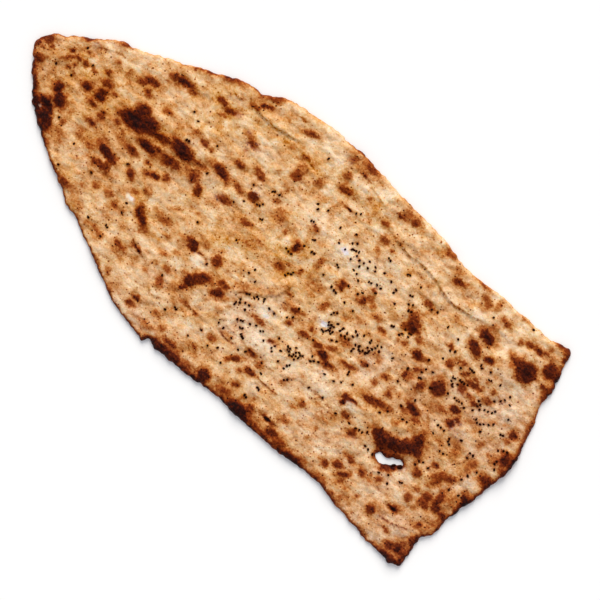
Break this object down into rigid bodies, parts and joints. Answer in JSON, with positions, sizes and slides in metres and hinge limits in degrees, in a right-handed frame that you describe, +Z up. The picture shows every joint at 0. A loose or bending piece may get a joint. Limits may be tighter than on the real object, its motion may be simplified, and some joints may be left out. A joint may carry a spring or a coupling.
{
  "type": "flatbread",
  "caption": "Long thin one-piece baked flatbread with a rounded nose, a wide ragged end and one small torn hole; lies flat on a table.",
  "frame": {"origin": "under the middle of the bread's outline, on the surface it lies on", "axes": "+X along the bread from its rounded nose to its wide cut end, +Z up through the baked crust"},
  "size_m": [0.511, 0.2306, 0.0082],
  "materials": {
    "crust": "matt, baked, scorched in spots"
  },
  "bodies": {
    "root": {"flatbread": "crust"}
  },
  "joints": []
}
